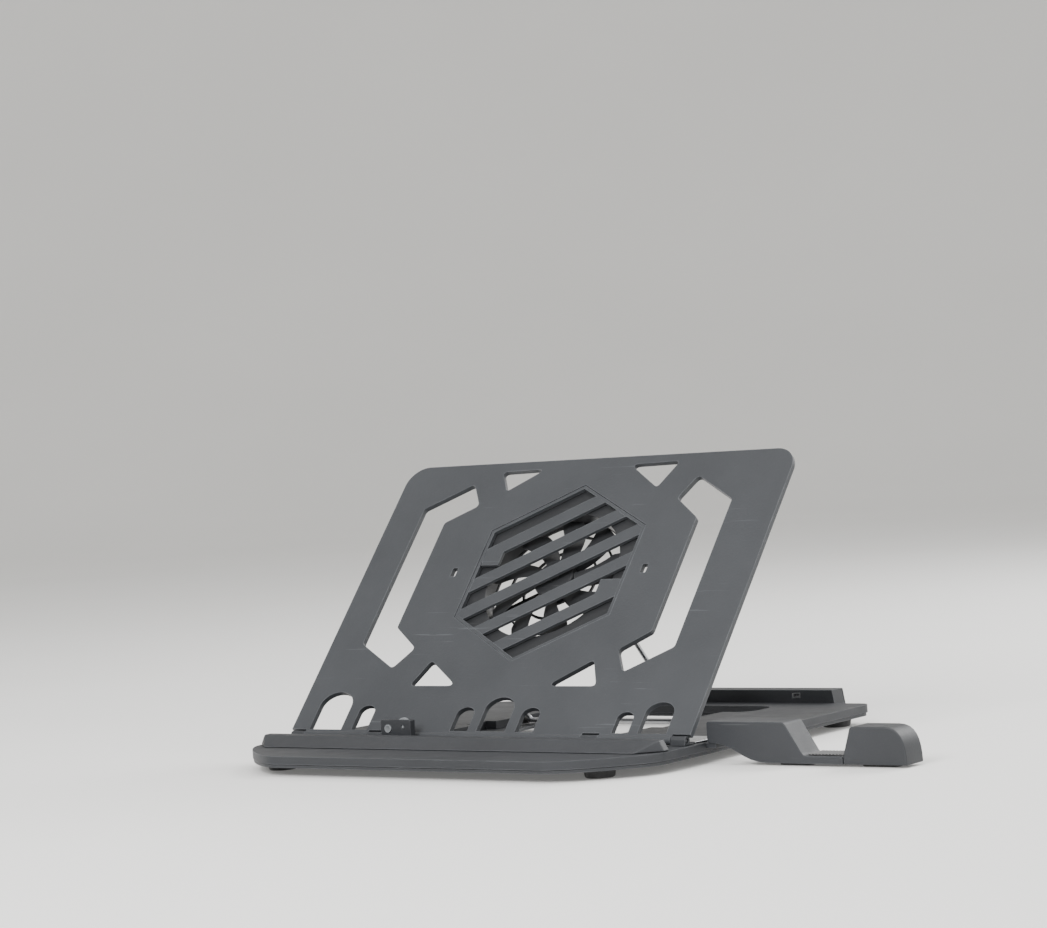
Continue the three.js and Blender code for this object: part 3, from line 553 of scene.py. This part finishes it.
# ---------------------------------------------------------------- controls
def speed_wheel():
    """A thumb wheel with a knurled rim and a pin through it."""
    node = "speed_wheel"
    low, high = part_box(node)
    radius, half_pin = (high.z - low.z) / 2, (high.y - low.y) / 2
    upright = Matrix.Translation(middle(node)) @ Matrix.Rotation(-math.pi / 2, 4, "X")
    outline = []
    for k in range(WHEEL_TEETH):
        for part, depth in ((0.0, 0.55), (0.2, 0.0), (0.55, 0.0), (0.75, 0.55)):
            a = 2 * math.pi * (k + part) / WHEEL_TEETH
            outline.append(((radius - depth * MM) * math.cos(a), (radius - depth * MM) * math.sin(a)))
    side = upright @ Matrix.Translation((0, 0, -WHEEL_THICK / 2))
    rim = rounded(prism("rim", outline, WHEEL_THICK, side), 0.00015, 2)
    pin_radius = WHEEL_PIN_RADIUS
    pin = [(0, -half_pin), (0.8 * pin_radius, -half_pin), (pin_radius, -0.9 * half_pin),
           (pin_radius, 0.9 * half_pin), (0.8 * pin_radius, half_pin), (0, half_pin)]
    finished(merged("speed_wheel_knurled", [rim, lathe("pin", pin, upright)]), node, replaced=[node])


def power_button():
    """A push button with a rolled rim round a dished face."""
    node = "power_button"
    low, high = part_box(node)
    r, depth = (high.x - low.x) / 2, high.y - low.y
    face = Matrix.Translation((middle(node).x, low.y, middle(node).z)) @ Matrix.Rotation(math.pi / 2, 4, "X")
    dish = [(0, -0.16 * r), (0.3 * r, -0.145 * r), (0.55 * r, -0.1 * r), (0.72 * r, -0.04 * r), (0.8 * r, 0),
            (0.9 * r, 0), (0.97 * r, -0.04 * r), (r, -0.12 * r), (r, -depth), (0, -depth)]
    finished(lathe("power_button_dished", dish, face), node, replaced=[node])


# ---------------------------------------------------------------- fan
def fan_blade(angle, hub, tip, centre, level, half_rise):
    """One swept, cambered blade as a closed mesh about Z."""
    spans, chords = 14, 10
    rings = []
    for i in range(spans + 1):
        t = i / spans
        r = hub + (tip - hub) * t
        narrowing = max(0.0, t - BLADE_TIP_START) / (1.0 - BLADE_TIP_START)
        half = (BLADE_ROOT_HALF + BLADE_WIDENING * t ** 0.85) * (1.0 - 0.35 * narrowing)
        rise = half_rise * (1.0 - 0.1 * t)
        section = []
        for side in (1, -1):
            for k in range(chords + 1):
                c = -1 + 2 * k / chords if side > 0 else 1 - 2 * k / chords
                turn = angle + BLADE_SWEEP * t ** 1.4 + c * half / r
                thick = BLADE_HALF_THICK * (1 - 0.75 * c * c) * (1 - 0.3 * t)
                camber = BLADE_CAMBER * (1 - c * c)
                lift = level + 0.86 * rise * c + camber + side * thick
                section.append((centre[0] + r * math.cos(turn), centre[1] + r * math.sin(turn), lift))
        rings.append(section)
    count = len(rings[0])
    spots = [spot for ring in rings for spot in ring]
    faces = [tuple(range(count)), tuple(range(len(spots) - 1, len(spots) - 1 - count, -1))]
    for i in range(spans):
        for k in range(count):
            after = (k + 1) % count
            faces.append((i * count + k, i * count + after, (i + 1) * count + after, (i + 1) * count + k))
    return smoothed(mesh_of("blade", spots, faces, ON_PANEL), BLADE_SHADING_DEG)


def fan_rotor():
    """Nine blades on a cupped hub with a dimpled cap and a shaft."""
    node = "fan_rotor"
    low, high = panel_box(node)
    cx, cy = (low.x + high.x) / 2, (ON_PANEL.inverted() @ Vector(JOINTS["fan_spin"]["pos_m"])).y
    top, tip, hub = high.z, (high.x - low.x) / 2, FAN_HUB_RADIUS
    bottom = top - 7.6 * MM
    wall = 1.6 * MM
    roof = top - 1.8 * MM
    dimple = [(0, top - 0.7 * MM), (3.4 * MM, top - 0.7 * MM), (3.8 * MM, top - 0.3 * MM), (4.2 * MM, top)]
    shoulder = [(hub - 1.6 * MM, top), (hub - 0.8 * MM, top - 0.15 * MM),
                (hub - 0.2 * MM, top - 0.8 * MM), (hub, top - 1.6 * MM), (hub, bottom)]
    inside = [(hub - wall, bottom), (hub - wall, roof), (1.3 * MM, roof), (1.3 * MM, low.z), (0, low.z)]
    cup = dimple + shoulder + inside
    parts = [lathe("cup", cup, ON_PANEL @ Matrix.Translation((cx, cy, 0)), FAN_HUB_SIDES)]
    for k in range(FAN_BLADES):
        angle = 2 * math.pi * k / FAN_BLADES
        parts.append(fan_blade(angle, hub - 0.5 * MM, tip, (cx, cy), top - 3.8 * MM, 2.5 * MM))
    finished(merged("fan_rotor_blades", parts), node, replaced=[node])


# ---------------------------------------------------------------- prop
def prop_frame():
    """A bent wire on each side, welded to a straight foot bar."""
    node, radius = "prop_frame", PROP_WIRE_RADIUS
    low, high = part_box(node)
    pivot = Vector(JOINTS["prop_pivot"]["pos_m"])
    foot = (middle("prop_cap_left") + middle("prop_cap_right")) / 2
    along = Vector((0, foot.y - pivot.y, foot.z - pivot.z)).normalized()
    centre = middle(node).x
    arm, stub, end = PROP_ARM_HALF, (high.x - low.x) / 2, PROP_FOOT_HALF
    down = along * math.hypot(foot.y - pivot.y, foot.z - pivot.z)
    pieces = [wire("foot_bar", [Vector((centre - end, *foot.yz)), Vector((centre + end, *foot.yz))], radius)]
    for side in (1, -1):
        top = Vector((centre + side * arm, *pivot.yz))
        path = filleted([top + Vector((side * (stub - arm), 0, 0)), top, top + down], PROP_BEND_RADIUS)
        pieces.append(wire("arm", path, radius))
        bead = [(0, -2.5), (1.9, -2.4), (2.15, -1.8), (2.2, 0), (1.8, 1.2), (0, 1.3)]
        turn = along.to_track_quat("Z", "X").to_matrix().to_4x4()
        weld = Matrix.Translation(top + down - 1.4 * MM * along) @ turn
        pieces.append(lathe("weld", [(r * MM, h * MM) for r, h in bead], weld, 24))
    finished(merged("prop_frame_wire", pieces), node, replaced=[node])


# ---------------------------------------------------------------- small fittings without a CAD node
def guide_rivets():
    """Nearly flush rivets in the steel guide plate; the folded panel lies just above them."""
    low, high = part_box("arm_guide_plate")
    dome = [(0, 0.2), (0.6, 0.19), (1.1, 0.14), (1.5, 0.07), (1.7, 0.0), (1.7, -0.3), (0, -0.3)]
    heads = []
    for x in (low.x + RIVET_INSET[0], high.x - RIVET_INSET[0]):
        for y in (low.y + RIVET_INSET[1], high.y - RIVET_INSET[1]):
            place = Matrix.Translation((x, y, high.z))
            heads.append(lathe("rivet", [(r * MM, h * MM) for r, h in dome], place, 28))
    finished(merged("guide_rivets", heads), "base", "screw_steel")


def inlet_tongue():
    """The contact tongue inside the power inlet."""
    low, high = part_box("power_inlet")
    size = Vector((0.62 * (high.x - low.x), 0.0, 0.7 * MM))
    outline = [(-size.x / 2, 0), (size.x / 2, 0), (size.x / 2, size.z), (-size.x / 2, size.z)]
    centre = (low + high) / 2
    back = low.y + 1 * MM
    stand = Matrix(((1, 0, 0, centre.x), (0, 0, 1, back), (0, 1, 0, centre.z - size.z / 2), (0, 0, 0, 1)))
    tongue = prism("inlet_tongue", outline, 4.2 * MM, stand)
    finished(rounded(tongue, 0.0001, 2), "base", "fan_plastic")


EDGE_RADIUS = {
    "base_top_cover": 1.0, "base_bottom_cover": 0.5, "stop_lip": 1.0, "rear_housing": 1.0,
    "rear_housing_cover": 0.6, "control_housing": 0.35, "panel_plate": 0.7, "vent_grille": 0.5,
    "fan_housing": 0.5, "fan_guard": 0.4, "phone_arm": 1.0, "phone_arm_end": 1.0,
    "arm_guide_plate": 0.2, "control_board": 0.1, "power_inlet": 0.15, "motor_stator": 0.4,
    "hinge_rod": 0.3, "prop_pad_left": 0.1, "prop_pad_right": 0.1,
    "prop_cap_left": 0.5, "prop_cap_right": 0.5,
    "hinge_bracket_1": 0.25, "hinge_bracket_2": 0.25, "hinge_bracket_3": 0.25, "hinge_bracket_4": 0.25,
    "prop_bracket_left": 0.8, "prop_bracket_right": 0.8, "arm_foot_inner": 0.4, "arm_foot_outer": 0.4,
}
for node, radius in EDGE_RADIUS.items():
    refined(node, radius * MM)
screws()
rubber_feet()
ribbed_pad("lip_pad", "Y", 4 * MM, 0.6 * MM)
ribbed_pad("phone_slot_pad", "Z", 2.6 * MM, 0.45 * MM)
speed_wheel()
power_button()
fan_rotor()
prop_frame()
guide_rivets()
inlet_tongue()


# ---------------------------------------------------------------- stage, light and camera
def studio_floor():
    """A flat round floor that curls up far away on every side, so that no horizon shows."""
    steps, turns = 14, 96
    flat, curl, wall = 5.0, 3.0, 4.0
    profile = [(0.4, 0.0), (1.2, 0.0), (flat, 0.0)]
    for i in range(1, steps + 1):
        angle = math.pi / 2 * i / steps
        profile.append((flat + curl * math.sin(angle), curl * (1 - math.cos(angle))))
    profile.append((flat + curl, curl + wall))
    bm = bmesh.new()
    rings = []
    for radius, height in profile:
        places = [2 * math.pi * k / turns for k in range(turns)]
        rings.append([bm.verts.new((radius * math.cos(a), radius * math.sin(a), height)) for a in places])
    bm.faces.new(rings[0])
    for low, high in zip(rings, rings[1:]):
        for k in range(turns):
            after = (k + 1) % turns
            bm.faces.new((low[k], high[k], high[after], low[after]))
    mesh = bpy.data.meshes.new("studio_floor")
    bm.to_mesh(mesh)
    bm.free()
    for face in mesh.polygons:
        face.use_smooth = True
    floor = linked("studio_floor", mesh)
    floor.data.materials.append(studio_paper("studio_paper", PAPER_COLOUR))
    floor.location.z = -0.0002


def softbox(name, azimuth, elevation, distance, size, power):
    """An area light that faces the object; azimuth 0 is behind the user and goes round to their right."""
    light = bpy.data.lights.new(name, "AREA")
    light.energy = power
    light.size = size
    lamp = linked(name, light)
    a, e = math.radians(azimuth), math.radians(elevation)
    lamp.location = distance * Vector((math.sin(a) * math.cos(e), -math.cos(a) * math.cos(e), math.sin(e)))
    lamp.rotation_euler = (-lamp.location).to_track_quat("-Z", "Y").to_euler()


def photo_camera():
    """Stands in front and to the right, almost level, turned a little in its own plane."""
    azimuth, elevation, roll = (math.radians(v) for v in (36.4, 0.56, 3.58))
    distance, aim = 2.06, Vector((-0.043, -0.066, 0.213))
    flat = math.cos(elevation)
    ahead = Vector((-math.sin(azimuth) * flat, math.cos(azimuth) * flat, -math.sin(elevation)))
    level = ahead.cross(Vector((0, 0, 1))).normalized()
    down = ahead.cross(level)
    right = math.cos(roll) * level + math.sin(roll) * down
    up = math.sin(roll) * level - math.cos(roll) * down
    data = bpy.data.cameras.new("camera")
    data.lens = 98.4
    data.sensor_width = 36.0
    data.clip_end = 60.0
    camera = linked("camera", data)
    turn = Matrix((right, up, -ahead)).transposed().to_4x4()
    camera.matrix_world = Matrix.Translation(aim - distance * ahead) @ turn
    bpy.context.scene.camera = camera


studio_floor()
softbox("key_light", 2, 34, 2.4, 1.1, 62)
softbox("fill_light", 92, 30, 3.0, 2.2, 30)
softbox("rim_light", 160, 34, 2.4, 1.4, 52)
softbox("top_light", 60, 82, 2.4, 1.8, 26)
world = bpy.data.worlds.new("studio")
world.use_nodes = True
world.node_tree.nodes["Background"].inputs["Color"].default_value = (1.0, 0.99, 0.97, 1.0)
world.node_tree.nodes["Background"].inputs["Strength"].default_value = 0.6
bpy.context.scene.world = world
photo_camera()
